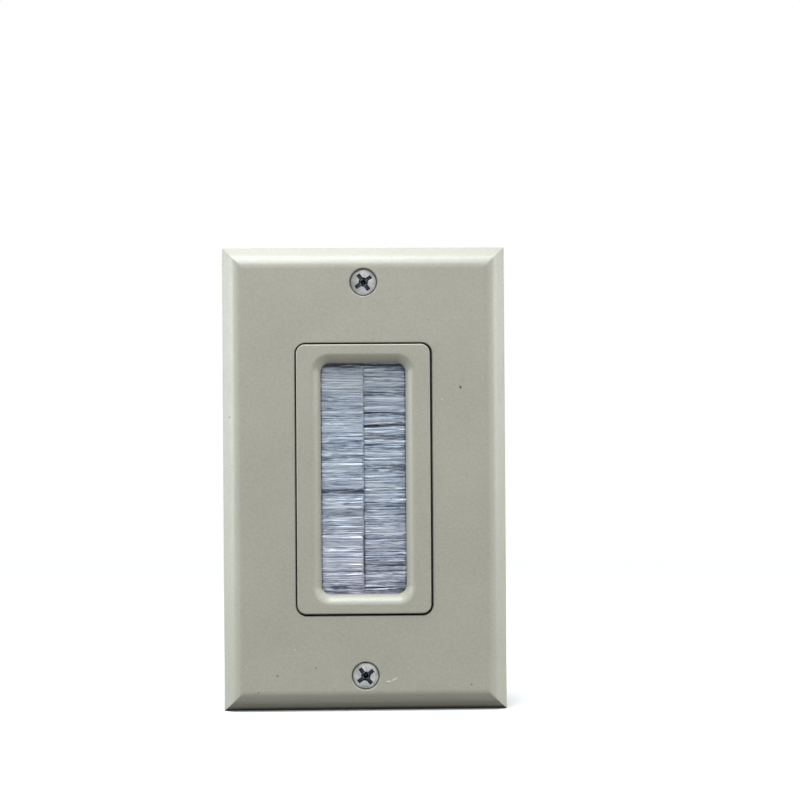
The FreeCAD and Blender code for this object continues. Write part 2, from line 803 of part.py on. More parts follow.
def build_plate_screws():
    """Two oval-head screws, each turned as it is in the photograph."""
    rim = "plate_depth - (head_sink)"
    neck = f"{rim} - plate_screw_land - (plate_screw_head - plate_screw_shank) / 2 / countersink_slope"
    body = turned_body(
        "plate_screw",
        [
            ("0", f"plate_screw_length - ({rim})"),
            ("plate_screw_shank / 2", f"plate_screw_length - ({rim})"),
            ("plate_screw_shank / 2", f"-({neck})"),
            ("plate_screw_head / 2", f"-({rim} - plate_screw_land)"),
            ("plate_screw_head / 2", f"-({rim})"),
            ("0", f"-({rim} + plate_screw_crown)"),
        ],
        domed=4,
    )
    cut_cross_recess(body, f"{rim} + plate_screw_crown")
    copies = []
    for side, turn in (("1", "top_cross_turn"), ("-1", "bottom_cross_turn")):
        copy = body.Shape.copy()
        turned = FreeCAD.Rotation(FreeCAD.Vector(0, 1, 0), -value(turn))
        place = FreeCAD.Vector(value("plate_shift_x"), 0, value(f"{side} * plate_screw_z"))
        copy.Placement = FreeCAD.Placement(place, turned)
        copies.append(copy)
    group = doc.addObject("Part::Feature", "plate_screw_pair")
    group.Shape = Part.makeCompound(copies)
    return group


def build_retainer_screws():
    """Four small self-tapping screws with pan heads on the retainer's rear face."""
    seat = "retainer_behind"
    tip = f"{seat} - retainer_thickness - retainer_screw_reach"
    body = turned_body(
        "retainer_screw",
        [
            ("0", tip),
            ("retainer_screw_shank / 2", tip),
            ("retainer_screw_shank / 2", seat),
            ("retainer_screw_head / 2", seat),
            ("retainer_screw_head / 2", f"{seat} + retainer_screw_head_height"),
            ("0", f"{seat} + retainer_screw_head_height"),
        ],
    )
    sketch = new_sketch(body, "XZ_Plane", f"-({seat}) - retainer_screw_head_height")
    draw_polygon(sketch, cross_outline("small_cross_length / 2", "small_cross_width / 2"))
    pocket(body, sketch, "small_cross_depth", backwards=True)
    copies = []
    for across, up in retainer_screw_places():
        copy = body.Shape.copy()
        copy.Placement = FreeCAD.Placement(FreeCAD.Vector(value(across), 0, value(up)), FreeCAD.Rotation())
        copies.append(copy)
    group = doc.addObject("Part::Feature", "retainer_screw_set")
    group.Shape = Part.makeCompound(copies)
    return group


def check_and_write(nodes):
    """Stop at anything failed or broken, then write each piece to its own file."""
    doc.recompute()
    for item in doc.Objects:
        if {"Invalid", "Error"} & set(item.State):
            raise ValueError(f"{item.Name} failed")
    for name, item in nodes.items():
        if item.Shape.isNull() or not item.Shape.isValid():
            raise ValueError(f"{name} has no valid shape")
    os.makedirs(OUTPUT_FOLDER, exist_ok=True)
    for name, item in nodes.items():
        item.Label = name
        item.Shape.exportStep(os.path.join(OUTPUT_FOLDER, f"{name}.step"))
        print(name, len(item.Shape.Solids), round(item.Shape.Volume, 3))


doc = FreeCAD.newDocument("brush_wall_plate")
sheet = fill_sheet()
check_and_write(
    {
        "wall_plate": build_wall_plate(),
        "plate_screws": build_plate_screws(),
        "insert_frame": build_insert_frame(),
        "left_brush_channel": build_channel("left_brush_channel", "-1"),
        "right_brush_channel": build_channel("right_brush_channel", "1"),
        "left_core_wire": build_wire("left_core_wire", "-1"),
        "right_core_wire": build_wire("right_core_wire", "1"),
        "left_bristles": build_bristles("left_bristles", "-1"),
        "right_bristles": build_bristles("right_bristles", "1"),
        "retainer": build_retainer(),
        "retainer_screws": build_retainer_screws(),
    }
)
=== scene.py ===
"""The brush wall plate as a picture: finishes, loose filaments, floor, lamps and camera."""

import math
import random

import bpy
from mathutils import Matrix, Vector


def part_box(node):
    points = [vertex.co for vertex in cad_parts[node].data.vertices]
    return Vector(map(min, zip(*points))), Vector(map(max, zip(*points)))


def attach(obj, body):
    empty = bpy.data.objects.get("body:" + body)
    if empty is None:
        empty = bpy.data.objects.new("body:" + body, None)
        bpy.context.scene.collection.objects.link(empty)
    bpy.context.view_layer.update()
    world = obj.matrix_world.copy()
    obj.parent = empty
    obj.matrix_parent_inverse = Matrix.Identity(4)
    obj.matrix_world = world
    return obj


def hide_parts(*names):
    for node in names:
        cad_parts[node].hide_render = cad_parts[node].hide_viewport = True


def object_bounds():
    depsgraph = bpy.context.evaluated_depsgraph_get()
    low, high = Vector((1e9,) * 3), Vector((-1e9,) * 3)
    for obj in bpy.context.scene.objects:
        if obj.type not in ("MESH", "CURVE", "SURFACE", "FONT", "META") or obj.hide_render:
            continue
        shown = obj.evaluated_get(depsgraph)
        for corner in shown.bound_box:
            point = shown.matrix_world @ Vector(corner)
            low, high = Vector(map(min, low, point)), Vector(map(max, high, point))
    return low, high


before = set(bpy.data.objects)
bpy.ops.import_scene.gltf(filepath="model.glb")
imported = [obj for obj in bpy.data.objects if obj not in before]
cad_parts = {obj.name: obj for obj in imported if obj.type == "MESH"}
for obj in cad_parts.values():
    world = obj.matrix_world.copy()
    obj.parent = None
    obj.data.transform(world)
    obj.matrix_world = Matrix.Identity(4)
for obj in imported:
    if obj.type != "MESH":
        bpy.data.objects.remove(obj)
cad_low, cad_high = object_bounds()

MM = 0.001
scene = bpy.context.scene


# Node and colour helpers


def linear(red, green, blue):
    """The colour with these 0 to 255 screen values, as a shader takes it."""
    parts = []
    for part in (red, green, blue):
        part = part / 255
        parts.append(part / 12.92 if part <= 0.04045 else ((part + 0.055) / 1.055) ** 2.4)
    return (*parts, 1.0)


def scaled(colour, share):
    """The colour, lighter or darker by share."""
    return (*(part * share for part in colour[:3]), 1.0)


class Shader:
    """A material with its node tree, and short ways to add nodes to it."""

    def __init__(self, name):
        self.material = bpy.data.materials.new(name)
        self.material.use_nodes = True
        self.tree = self.material.node_tree
        self.surface = self.tree.nodes["Principled BSDF"]
        self.output = self.tree.nodes["Material Output"]
        self.place = self.node("ShaderNodeTexCoord").outputs["Object"]

    def node(self, kind, **settings):
        made = self.tree.nodes.new(kind)
        for key, value in settings.items():
            setattr(made, key, value)
        return made

    def put(self, socket, value):
        """A constant or another node's output goes into the socket."""
        if isinstance(value, bpy.types.NodeSocket):
            self.tree.links.new(value, socket)
        else:
            socket.default_value = value

    def set(self, **values):
        """Inputs of the surface, named with _ for each space."""
        for name, value in values.items():
            self.put(self.surface.inputs[name.replace("_", " ")], value)

    def math(self, operation, first, second=0.0, third=0.0):
        made = self.node("ShaderNodeMath", operation=operation)
        for socket, value in zip(made.inputs, (first, second, third)):
            self.put(socket, value)
        return made.outputs[0]

    def vector(self, operation, first, second=(0, 0, 0)):
        """The node itself, whose outputs are Vector and, for a length, Value."""
        made = self.node("ShaderNodeVectorMath", operation=operation)
        self.put(made.inputs[0], first)
        self.put(made.inputs[1], second)
        return made

    def parts(self, vector):
        """The X, Y and Z outputs of the vector."""
        made = self.node("ShaderNodeSeparateXYZ")
        self.put(made.inputs[0], vector)
        return made.outputs

    def noise(self, scale, detail, stretch=None):
        """Noise over the object, with scale in waves a metre."""
        place = self.place
        if stretch:
            mapping = self.node("ShaderNodeMapping")
            self.put(mapping.inputs["Vector"], place)
            mapping.inputs["Scale"].default_value = stretch
            place = mapping.outputs["Vector"]
        made = self.node("ShaderNodeTexNoise")
        self.put(made.inputs["Vector"], place)
        made.inputs["Scale"].default_value = scale
        made.inputs["Detail"].default_value = detail
        return made.outputs["Fac"]

    def span(self, value, low, high, to_low, to_high, smooth=False):
        """value from low..high to to_low..to_high, held at the ends."""
        curve = "SMOOTHSTEP" if smooth else "LINEAR"
        made = self.node("ShaderNodeMapRange", interpolation_type=curve)
        self.put(made.inputs["Value"], value)
        made.inputs["From Min"].default_value = low
        made.inputs["From Max"].default_value = high
        made.inputs["To Min"].default_value = to_low
        made.inputs["To Max"].default_value = to_high
        return made.outputs["Result"]

    def spread(self, noise, low, high):
        """Noise, most of which lies between 0.3 and 0.7, spread over low..high."""
        return self.span(noise, 0.3, 0.7, low, high)

    def mix(self, share, first, second, blend="MIX"):
        made = self.node("ShaderNodeMix", data_type="RGBA", blend_type=blend)
        self.put(made.inputs["Factor"], share)
        self.put(made.inputs["A"], first)
        self.put(made.inputs["B"], second)
        return made.outputs["Result"]

    def bump(self, height, distance, strength, under):
        """The direction under, turned by the slope of the height."""
        made = self.node("ShaderNodeBump")
        self.put(made.inputs["Height"], height)
        made.inputs["Distance"].default_value = distance
        made.inputs["Strength"].default_value = strength
        self.put(made.inputs["Normal"], under)
        return made.outputs["Normal"]

    def rounded(self, radius):
        """The surface's direction with its sharp edges rounded off."""
        made = self.node("ShaderNodeBevel", samples=6)
        made.inputs["Radius"].default_value = radius
        return made.outputs["Normal"]

    def openness(self, distance):
        """1 on open faces, falling towards 0 in gaps and recesses deeper than they are wide."""
        made = self.node("ShaderNodeAmbientOcclusion", samples=8)
        made.inputs["Distance"].default_value = distance
        return made.outputs["AO"]

    def stands_out(self, depth):
        """1 on what stands further out of the wall than this depth in mm, 0 behind it."""
        return self.math("LESS_THAN", self.parts(self.place)["Y"], -depth * MM)

    def faces_front(self):
        """1 on surfaces that face the room, 0 on the others."""
        direction = self.node("ShaderNodeNewGeometry").outputs["Normal"]
        return self.math("LESS_THAN", self.parts(direction)["Y"], -0.3)

    def spot(self, x, z, half_length, half_width, rise):
        """1 within a small soft-edged oval seen from the front, 0 outside it. rise is in degrees."""
        moved = self.node("ShaderNodeMapping", vector_type="TEXTURE")
        self.put(moved.inputs["Vector"], self.place)
        moved.inputs["Location"].default_value = (x * MM, 0, z * MM)
        moved.inputs["Rotation"].default_value = (0, -math.radians(rise), 0)
        moved.inputs["Scale"].default_value = (half_length * MM, 1e6, half_width * MM)
        away = self.vector("LENGTH", moved.outputs["Vector"]).outputs["Value"]
        return self.span(away, 0.6, 1.1, 1.0, 0.0)


# Plastic, with lengths in mm and noise in waves a metre

DRIFT_WAVES, GRAIN_WAVES, GLOSS_WAVES, PORE_WAVES = 60, 2600, 900, 1800
DRIFT_SHARE = 0.35
TONE_RANGE = 0.11
SATIN = (0.36, 0.44)
PORE_DEPTH, PORE_STRENGTH = 0.01, 0.5
MOULDED_EDGE = 0.2

# Painted shade in gaps: how far round a point a gap is looked for, and how open it is where the
# painted dark starts and ends
GAP_REACH, GAP_CLOSED, GAP_OPEN = 1.5, 0.26, 0.66
PAINTED_GAP_SHADE = linear(14, 14, 12)

# Specks and a short scratch on the cover plate: each one's place across and up, its half length,
# half width and rise in degrees, then its colour and strength
DARK, PALE = linear(62, 60, 52), linear(214, 215, 203)
MARKS = (
    (23.97, 22.43, 0.44, 0.3, 110, DARK, 1.0),
    (16.2, 39.06, 0.34, 0.22, 0, DARK, 0.3),
    (19.54, 37.12, 0.18, 0.18, 0, DARK, 0.22),
    (-18.32, 43.68, 0.18, 0.18, 0, DARK, 0.22),
    (-32.87, 15.37, 0.24, 0.24, 0, DARK, 0.7),
    (-32.35, 3.43, 0.2, 0.2, 0, DARK, 0.4),
    (-11.97, -46.37, 0.32, 0.26, 0, DARK, 0.5),
    (-21.47, -48.22, 0.34, 0.28, 0, DARK, 0.6),
    (-26.15, -52.29, 0.3, 0.28, 0, DARK, 0.55),
    (26.17, -50.74, 0.3, 0.28, 0, DARK, 0.55),
    (19.42, 19.43, 0.22, 0.22, 0, PALE, 0.7),
    (-17.19, -41.76, 0.22, 0.22, 0, PALE, 0.7),
    (5.85, -49.8, 0.65, 0.22, 8, PALE, 1.0),
    (7.3, -49.25, 0.95, 0.19, 30, PALE, 0.9),
    (5.7, -50.15, 0.5, 0.14, 12, DARK, 0.3),
)

# The cover plate's slope blends into its face between these distances from the edge. The drop is
# what the bump takes off the outer end, and the corner is where two sides blend. Only what stands
# further out of the wall than the depth is bent.
RIM_FROM, RIM_TO, RIM_DROP, RIM_CORNER = 1.9, 4.6, 0.38, 0.8
RIM_DEPTH = 4.0

# The insert's throat, and the bump over the funnel between these distances from it, with the
# depth as above
THROAT_HALF_WIDTH, THROAT_HALF_HEIGHT, THROAT_CORNER = 10.475, 28.5, 2.2
FUNNEL_FROM, FUNNEL_TO, FUNNEL_RISE = 0.5, 2.55, 0.36
FUNNEL_DEPTH = 3.0


def shaped(made, away, low, high, rise, depth):
    """The surface's direction with a slope laid over it where away goes from low to high."""
    height = made.span(away, low * MM, high * MM, 0.0, rise, smooth=True)
    height = made.math("MULTIPLY", height, made.stands_out(depth))
    return made.bump(height, MM, 1.0, made.rounded(MOULDED_EDGE * MM))


def softened_rim(made):
    """The cover plate's inner slope, blended further into its flat face."""
    low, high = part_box("wall_plate")
    place = made.parts(made.place)
    from_middle = made.math("SUBTRACT", place["X"], (low.x + high.x) / 2)
    from_side = made.math("SUBTRACT", (high.x - low.x) / 2, made.math("ABSOLUTE", from_middle))
    from_end = made.math("SUBTRACT", high.z, made.math("ABSOLUTE", place["Z"]))
    inward = made.math("SMOOTH_MIN", from_side, from_end, RIM_CORNER * MM)
    return shaped(made, inward, RIM_FROM, RIM_TO, RIM_DROP, RIM_DEPTH)


def straightened_funnel(made):
    """The round funnel of the insert, turned more evenly."""
    corner = (
        (THROAT_HALF_WIDTH - THROAT_CORNER) * MM,
        1.0,
        (THROAT_HALF_HEIGHT - THROAT_CORNER) * MM,
    )
    mirrored = made.vector("ABSOLUTE", made.place).outputs["Vector"]
    past = made.vector("SUBTRACT", mirrored, corner).outputs["Vector"]
    outside = made.vector("MAXIMUM", past).outputs["Vector"]
    away = made.vector("LENGTH", outside).outputs["Value"]
    low, high = THROAT_CORNER + FUNNEL_FROM, THROAT_CORNER + FUNNEL_TO
    return shaped(made, away, low, high, FUNNEL_RISE, FUNNEL_DEPTH)


def moulded_plastic(name, colour, marks=(), form=None):
    """Satin moulded plastic: very fine grain, a faint drift of tone, painted shade in its gaps and
    any marks.

    form gives the surface's direction where the finish bends it.
    """
    made = Shader(name)
    drift = made.spread(made.noise(DRIFT_WAVES, 3), 0.0, DRIFT_SHARE)
    grain = made.spread(made.noise(GRAIN_WAVES, 2), 0.0, 1.0 - DRIFT_SHARE)
    tone = made.math("ADD", drift, grain)
    paint = made.mix(tone, scaled(colour, 1.0 - TONE_RANGE), scaled(colour, 1.0 + TONE_RANGE))
    # Painted shade: the colour turns to the painted gap shade where gaps close round it
    unshaded_share = made.span(made.openness(GAP_REACH * MM), GAP_CLOSED, GAP_OPEN, 0.0, 1.0)
    paint = made.mix(unshaded_share, PAINTED_GAP_SHADE, paint)
    on_front = made.faces_front() if marks else None
    for *oval, tint, strength in marks:
        share = made.math("MULTIPLY", made.spot(*oval), strength)
        paint = made.mix(made.math("MULTIPLY", share, on_front), paint, tint)
    direction = form(made) if form else made.rounded(MOULDED_EDGE * MM)
    made.set(
        Base_Color=paint,
        Roughness=made.spread(made.noise(GLOSS_WAVES, 2), *SATIN),
        IOR=1.49,
        Normal=made.bump(made.noise(PORE_WAVES, 3), PORE_DEPTH * MM, PORE_STRENGTH, direction),
    )
    return made.material


# Metal

# Painted shade in recesses: how far round a point a recess is looked for, and how open it is where
# the painted dark starts and ends
RECESS_REACH, RECESS_CLOSED, RECESS_OPEN = 2.4, 0.56, 0.92
PAINTED_RECESS_SHADE = linear(44, 48, 55)
DULL_SHARE, SHINE_RANGE = 0.6, 0.06
PIT_DEPTH, PIT_STRENGTH = 0.01, 0.4
STEEL_EDGE = 0.15
COARSE_WAVES, FINE_WAVES, CRYSTAL_WAVES = 700, 1500, 700


def steel(name, colour, roughness, waves):
    """Plated steel with a lightly uneven shine and painted shade in its recesses."""
    made = Shader(name)
    patches = made.spread(made.noise(waves, 3), 0.0, 1.0)
    paint = made.mix(patches, colour, scaled(colour, DULL_SHARE))
    # Painted shade: the colour turns to the painted recess shade in recesses
    unshaded_share = made.span(made.openness(RECESS_REACH * MM), RECESS_CLOSED, RECESS_OPEN, 0.0, 1.0)
    pits = made.noise(3 * waves, 2)
    made.set(
        Base_Color=made.mix(unshaded_share, PAINTED_RECESS_SHADE, paint),
        Metallic=1.0,
        Roughness=made.span(patches, 0, 1, roughness - SHINE_RANGE, roughness + SHINE_RANGE),
        Normal=made.bump(pits, PIT_DEPTH * MM, PIT_STRENGTH, made.rounded(STEEL_EDGE * MM)),
    )
    return made.material


def galvanised(name):
    """Zinc-coated sheet with its crystal pattern."""
    made = Shader(name)
    cells = made.node("ShaderNodeTexVoronoi")
    made.put(cells.inputs["Vector"], made.place)
    cells.inputs["Scale"].default_value = CRYSTAL_WAVES
    apart = made.node("ShaderNodeSeparateColor")
    made.put(apart.inputs[0], cells.outputs["Color"])
    made.set(
        Base_Color=made.mix(apart.outputs[0], linear(150, 154, 158), linear(186, 190, 194)),
        Metallic=1.0,
        Roughness=made.span(apart.outputs[1], 0, 1, 0.3, 0.5),
    )
    return made.material


# Nylon

# From the darkest to the lightest tone of a filament
NYLON_COLOURS = (
    (0.0, linear(84, 96, 116)),
    (0.16, linear(116, 130, 153)),
    (0.5, linear(214, 231, 254)),
    (1.0, linear(238, 246, 255)),
)
UNEVEN_WAVES, UNEVEN_TONE = 2600, 0.35
GLINT_WAVES, GLINT_TONE = 2300, 0.8

# Painted warm light: the rows turn a little warmer below the second height in mm, and fully so below
# the first
PAINTED_WARM_LIGHT, WARM_FULL, WARM_NONE = linear(255, 247, 247), -24, 2
LET_THROUGH = 0.2


def nylon(name):
    """Milky blue-grey filament, a little see-through, each one its own tone, which also carries
    painted light and shade, with painted glints and painted warm light low down.
    """
    made = Shader(name)
    tone = made.node("ShaderNodeAttribute", attribute_name="tone").outputs["Fac"]
    uneven = made.noise(UNEVEN_WAVES, 2, stretch=(0.15, 1, 1))
    uneven = made.spread(uneven, -UNEVEN_TONE, UNEVEN_TONE)
    # painted glints: thin bright streaks that stand in for highlights
    glint = made.noise(GLINT_WAVES, 1, stretch=(0.1, 1, 1))
    glint = made.span(glint, 0.56, 0.67, 0.0, GLINT_TONE)
    tone = made.math("ADD", tone, made.math("ADD", uneven, glint))
    ramp = made.node("ShaderNodeValToRGB")
    made.put(ramp.inputs["Fac"], tone)
    stops = ramp.color_ramp.elements
    stops[0].color = NYLON_COLOURS[0][1]
    stops[1].color = NYLON_COLOURS[-1][1]
    for at, colour in NYLON_COLOURS[1:-1]:
        stops.new(at).color = colour
    up = made.parts(made.place)["Z"]
    # painted warm light low on the rows
    warm_light_share = made.span(up, WARM_FULL * MM, WARM_NONE * MM, 1.0, 0.0)
    paint = made.mix(warm_light_share, ramp.outputs["Color"], PAINTED_WARM_LIGHT, "MULTIPLY")
    made.set(
        Base_Color=paint,
        Metallic=made.span(tone, 0.7, 1.2, 0.0, 0.55),
        Roughness=0.28,
        IOR=1.53,
        Specular_IOR_Level=1.0,
    )
    through = made.node("ShaderNodeBsdfTranslucent")
    made.put(through.inputs["Color"], paint)
    blend = made.node("ShaderNodeMixShader")
    blend.inputs[0].default_value = LET_THROUGH
    made.tree.links.new(made.surface.outputs[0], blend.inputs[1])
    made.tree.links.new(through.outputs[0], blend.inputs[2])
    made.tree.links.new(blend.outputs[0], made.output.inputs["Surface"])
    return made.material


# Finishes on the pieces

ALMOND = linear(168, 165, 151)
FINISHES = {
    "plate_plastic": moulded_plastic("plate_plastic", ALMOND, MARKS, softened_rim),
    "insert_plastic": moulded_plastic("insert_plastic", ALMOND, form=straightened_funnel),
    "retainer_plastic": moulded_plastic("retainer_plastic", linear(168, 168, 156)),
    "zinc_steel": steel("zinc_steel", linear(168, 169, 168), 0.36, COARSE_WAVES),
    "small_screw_steel": steel("small_screw_steel", linear(180, 178, 170), 0.36, FINE_WAVES),
    "galvanised_sheet": galvanised("galvanised_sheet"),
    "core_wire_steel": steel("core_wire_steel", linear(150, 150, 150), 0.3, FINE_WAVES),
    "bristle_nylon": nylon("bristle_nylon"),
}

SLOT_OF = {
    "wall_plate": "plate_plastic",
    "insert_frame": "insert_plastic",
    "retainer": "retainer_plastic",
    "plate_screws": "zinc_steel",
    "retainer_screws": "small_screw_steel",
    "left_brush_channel": "galvanised_sheet",
    "right_brush_channel": "galvanised_sheet",
    "left_core_wire": "core_wire_steel",
    "right_core_wire": "core_wire_steel",
    "left_bristles": "bristle_nylon",
    "right_bristles": "bristle_nylon",
}

for node, slot in SLOT_OF.items():
    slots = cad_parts[node].data.materials
    slots.clear()
    slots.append(FINISHES[slot])


# Brush filaments, with lengths in mm. A row's side is -1 for the left and 1 for the right, and a
# layer's depth is 0 at the front and 1 at the back.

LAYERS, FILAMENTS = 12, 420
TUFTS, STRANDS = 22, 220
SEEDS = {-1: 71, 1: 29}

# Section of a filament, and how thin the thinnest is
CORNERS, THICKNESS, THINNEST = 3, 0.16, 0.85

# How deep the roots lie in the channel's jaw, how thick the row is there, how much of its box it
# fills at the tips, and what it leaves free at its ends
JAW_DEPTH, ROOT_THICKNESS, TIP_SHARE, END_MARGIN = 1.6, 1.4, 0.86, 0.15

# Chance of a tuft and of a strand in it: lean up or down, lean forward, and tone
TUFT_CHANCE = (0.16, 0.1, 0.12)
STRAND_CHANCE = (0.1, 0.05, 0.33)

# Chance of a single filament, and of the few that stray or carry a painted glint, which also turns
# them partly metallic
OWN_LEAN, OWN_FORWARD, OWN_BEND, OWN_TONE = 0.05, 0.04, 0.05, 0.12
STRAY_SHARE, STRAY_LEAN = 0.025, 0.45
PAINTED_GLINT_SHARE, PAINTED_GLINT_TONE = 0.06, 1.1

# Two middle layers don't part and are painted dark as shade, so that a parting shows depth
SHADED_LAYERS, SHADED_TONE = (5, 6), 0.0

# Tones of the rest, and how they change along a filament from the jaw to the tip at each station:
# painted shade at the jaw, where the housing shades it; on the left row a painted highlight towards
# the tips; on the right row painted shade past the jaw and at the tips
PLAIN_TONE, PAINTED_JAW_SHADE = 0.58, -0.3
STATIONS = (0.0, 0.2, 0.235, 0.6, 0.96, 1.0)
PAINTED_LIGHT_STEPS = {-1: (-0.05, 0.0, 0.05, 0.4), 1: (-0.2, 0.0, 0.0, -0.1)}

# Tips at the seam: how ragged, how far they reach over it in front and behind, how far the right
# row's front stands back, and the gap in front, which is wider between two heights
FRONT, BACK = 0.4, 0.6
RAGGED, FRONT_OVERLAP, BACK_OVERLAP, RIGHT_SETBACK = 0.1, 0.02, 0.35, 0.25
OPEN_FROM, OPEN_TO, OPEN_GAP, LOWER_GAP = -24.0, -14.0, 0.22, 0.06

# Heights at which a row parts at the seam and how wide, and how fast the push fades from there
PARTING_REACH = 0.9
PARTINGS = {
    -1: ((13.2, 0.2), (8.8, 0.2), (-3.3, 0.8), (-10.8, 0.2), (-18.9, 0.2), (-26.9, 0.2)),
    1: (
        (24.9, 0.4), (21.1, 1.0), (18.7, 0.6), (16.4, 0.8), (13.2, 0.8), (10.3, 0.8), (8.2, 0.5),
        (2.3, 0.9), (-2.0, 0.7), (-5.9, 0.3), (-12.0, 0.15), (-22.6, 0.2), (-26.9, 0.6),
    ),
}

# Broad bands of painted light and shade on a row: height, half height, and how much lighter or
# darker. The first of each row is the painted shadow under the throat's top edge
PAINTED_LIGHT_BANDS = {
    -1: (
        (29.0, 1.5, -1.4), (17.0, 12.0, 0.12), (24.2, 1.7, 0.5), (17.6, 2.2, -0.12),
        (11.3, 1.2, 0.12), (8.5, 1.0, -0.15), (2.8, 1.0, 0.15), (-3.4, 0.8, -0.4),
        (-6.0, 1.2, 0.15), (-10.8, 1.4, -0.1), (-15.0, 2.0, 0.25), (-19.0, 0.7, -0.15),
        (-21.6, 1.8, 0.25), (-27.4, 1.8, -0.25),
    ),
    1: (
        (29.0, 1.5, -1.5), (17.0, 12.0, 0.12), (21.0, 1.0, -0.4), (19.6, 0.5, 0.3),
        (17.8, 0.5, 0.25), (16.2, 0.6, -0.3), (13.2, 0.5, -0.4), (12.3, 0.4, 0.3),
        (10.2, 0.6, -0.35), (7.8, 0.8, -0.3), (5.2, 1.2, 0.2), (2.1, 0.8, -0.4),
        (0.6, 0.8, 0.2), (-2.4, 0.7, -0.3), (-6.4, 1.0, -0.2), (-12.0, 2.5, 0.15),
        (-21.5, 1.5, -0.1), (-24.9, 0.5, 0.3), (-27.0, 1.0, -0.2), (-23.0, 5.0, -0.1),
    ),
}


def parted(height, side):
    """How far a tip at this height is pushed up or down by the partings of its row."""
    push = 0.0
    for middle, width in PARTINGS[side]:
        away = height - middle
        push += math.copysign(0.5 * width * math.exp(-abs(away) / PARTING_REACH), away)
    return push


def painted_band_light(height, side):
    """How much the painted bands of light and shade lighten or darken the row at this height."""
    tone = 0.0
    for middle, reach, strength in PAINTED_LIGHT_BANDS[side]:
        tone += strength * math.exp(-(((height - middle) / reach) ** 2))
    return tone


def seam_gap(height):
    """How far the front tips stay back from the seam at this height."""
    if OPEN_FROM < height < OPEN_TO:
        return OPEN_GAP
    return 0.0 if height > 0 else LOWER_GAP


def chance(dice, lean, forward, tone):
    """A tuft's or strand's own lean up or down, lean forward and tone."""
    return dice.gauss(0, lean), dice.gauss(0, forward), dice.uniform(-tone, tone)


class Filaments:
    """Points, faces and tones of a row's filaments, kept within the row's box."""

    def __init__(self, low, high):
        self.low, self.high = low, high
        self.vertices, self.faces, self.tones = [], [], []

    def ring(self, x, y, z, radius, turned, tone):
        """The corners round one point of a filament."""
        for corner in range(CORNERS):
            angle = 2 * math.pi * corner / CORNERS + turned
            forward, up = y + radius * math.sin(angle), z + radius * math.cos(angle)
            forward = min(max(forward, self.low.y), self.high.y)
            up = min(max(up, self.low.z), self.high.z)
            self.vertices.append((x, forward, up))
            self.tones.append(tone)

    def skin(self, start):
        """Faces between the rings of the filament that begins at start, and one over its tip."""
        for step in range(len(STATIONS) - 1):
            for corner in range(CORNERS):
                first = start + CORNERS * step + corner
                second = start + CORNERS * step + (corner + 1) % CORNERS
                self.faces.append((first, second, second + CORNERS, first + CORNERS))
        last = start + CORNERS * (len(STATIONS) - 1)
        self.faces.append(tuple(last + corner for corner in range(CORNERS)))

    def mesh(self, name):
        made = bpy.data.meshes.new(name)
        made.from_pydata(self.vertices, [], self.faces)
        made.attributes.new("tone", "FLOAT", "POINT").data.foreach_set("value", self.tones)
        made.shade_smooth()
        made.materials.append(FINISHES["bristle_nylon"])
        return made


